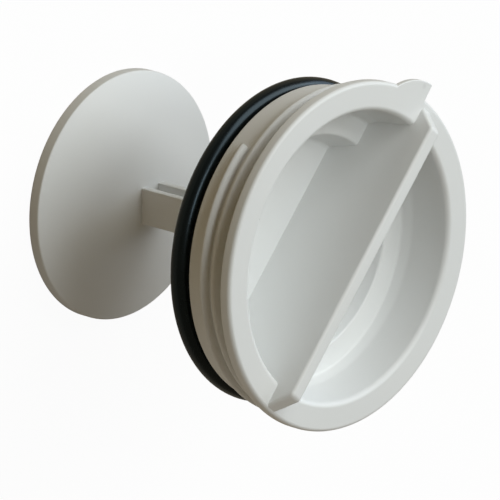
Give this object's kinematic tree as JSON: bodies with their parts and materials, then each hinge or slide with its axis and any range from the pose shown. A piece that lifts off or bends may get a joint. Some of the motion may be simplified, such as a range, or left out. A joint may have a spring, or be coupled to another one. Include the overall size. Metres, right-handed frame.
{
  "type": "pump filter cap",
  "caption": "Screw-in drain pump filter: a cap with a grip bar, pointer tab, coarse thread and seal ring, and a dished catch disc on an H-section stem.",
  "frame": {"origin": "centre of the catch disc's edge, in the plane that it stands on", "axes": "+Z along the axis out of the cap's front, +Y along the grip bar towards the pointer tab"},
  "size_m": [0.068, 0.0712, 0.0652],
  "materials": {
    "white_plastic": "satin",
    "black_rubber": "matte"
  },
  "bodies": {
    "root": {"filter_body": "white_plastic", "seal_ring": "black_rubber"}
  },
  "joints": []
}
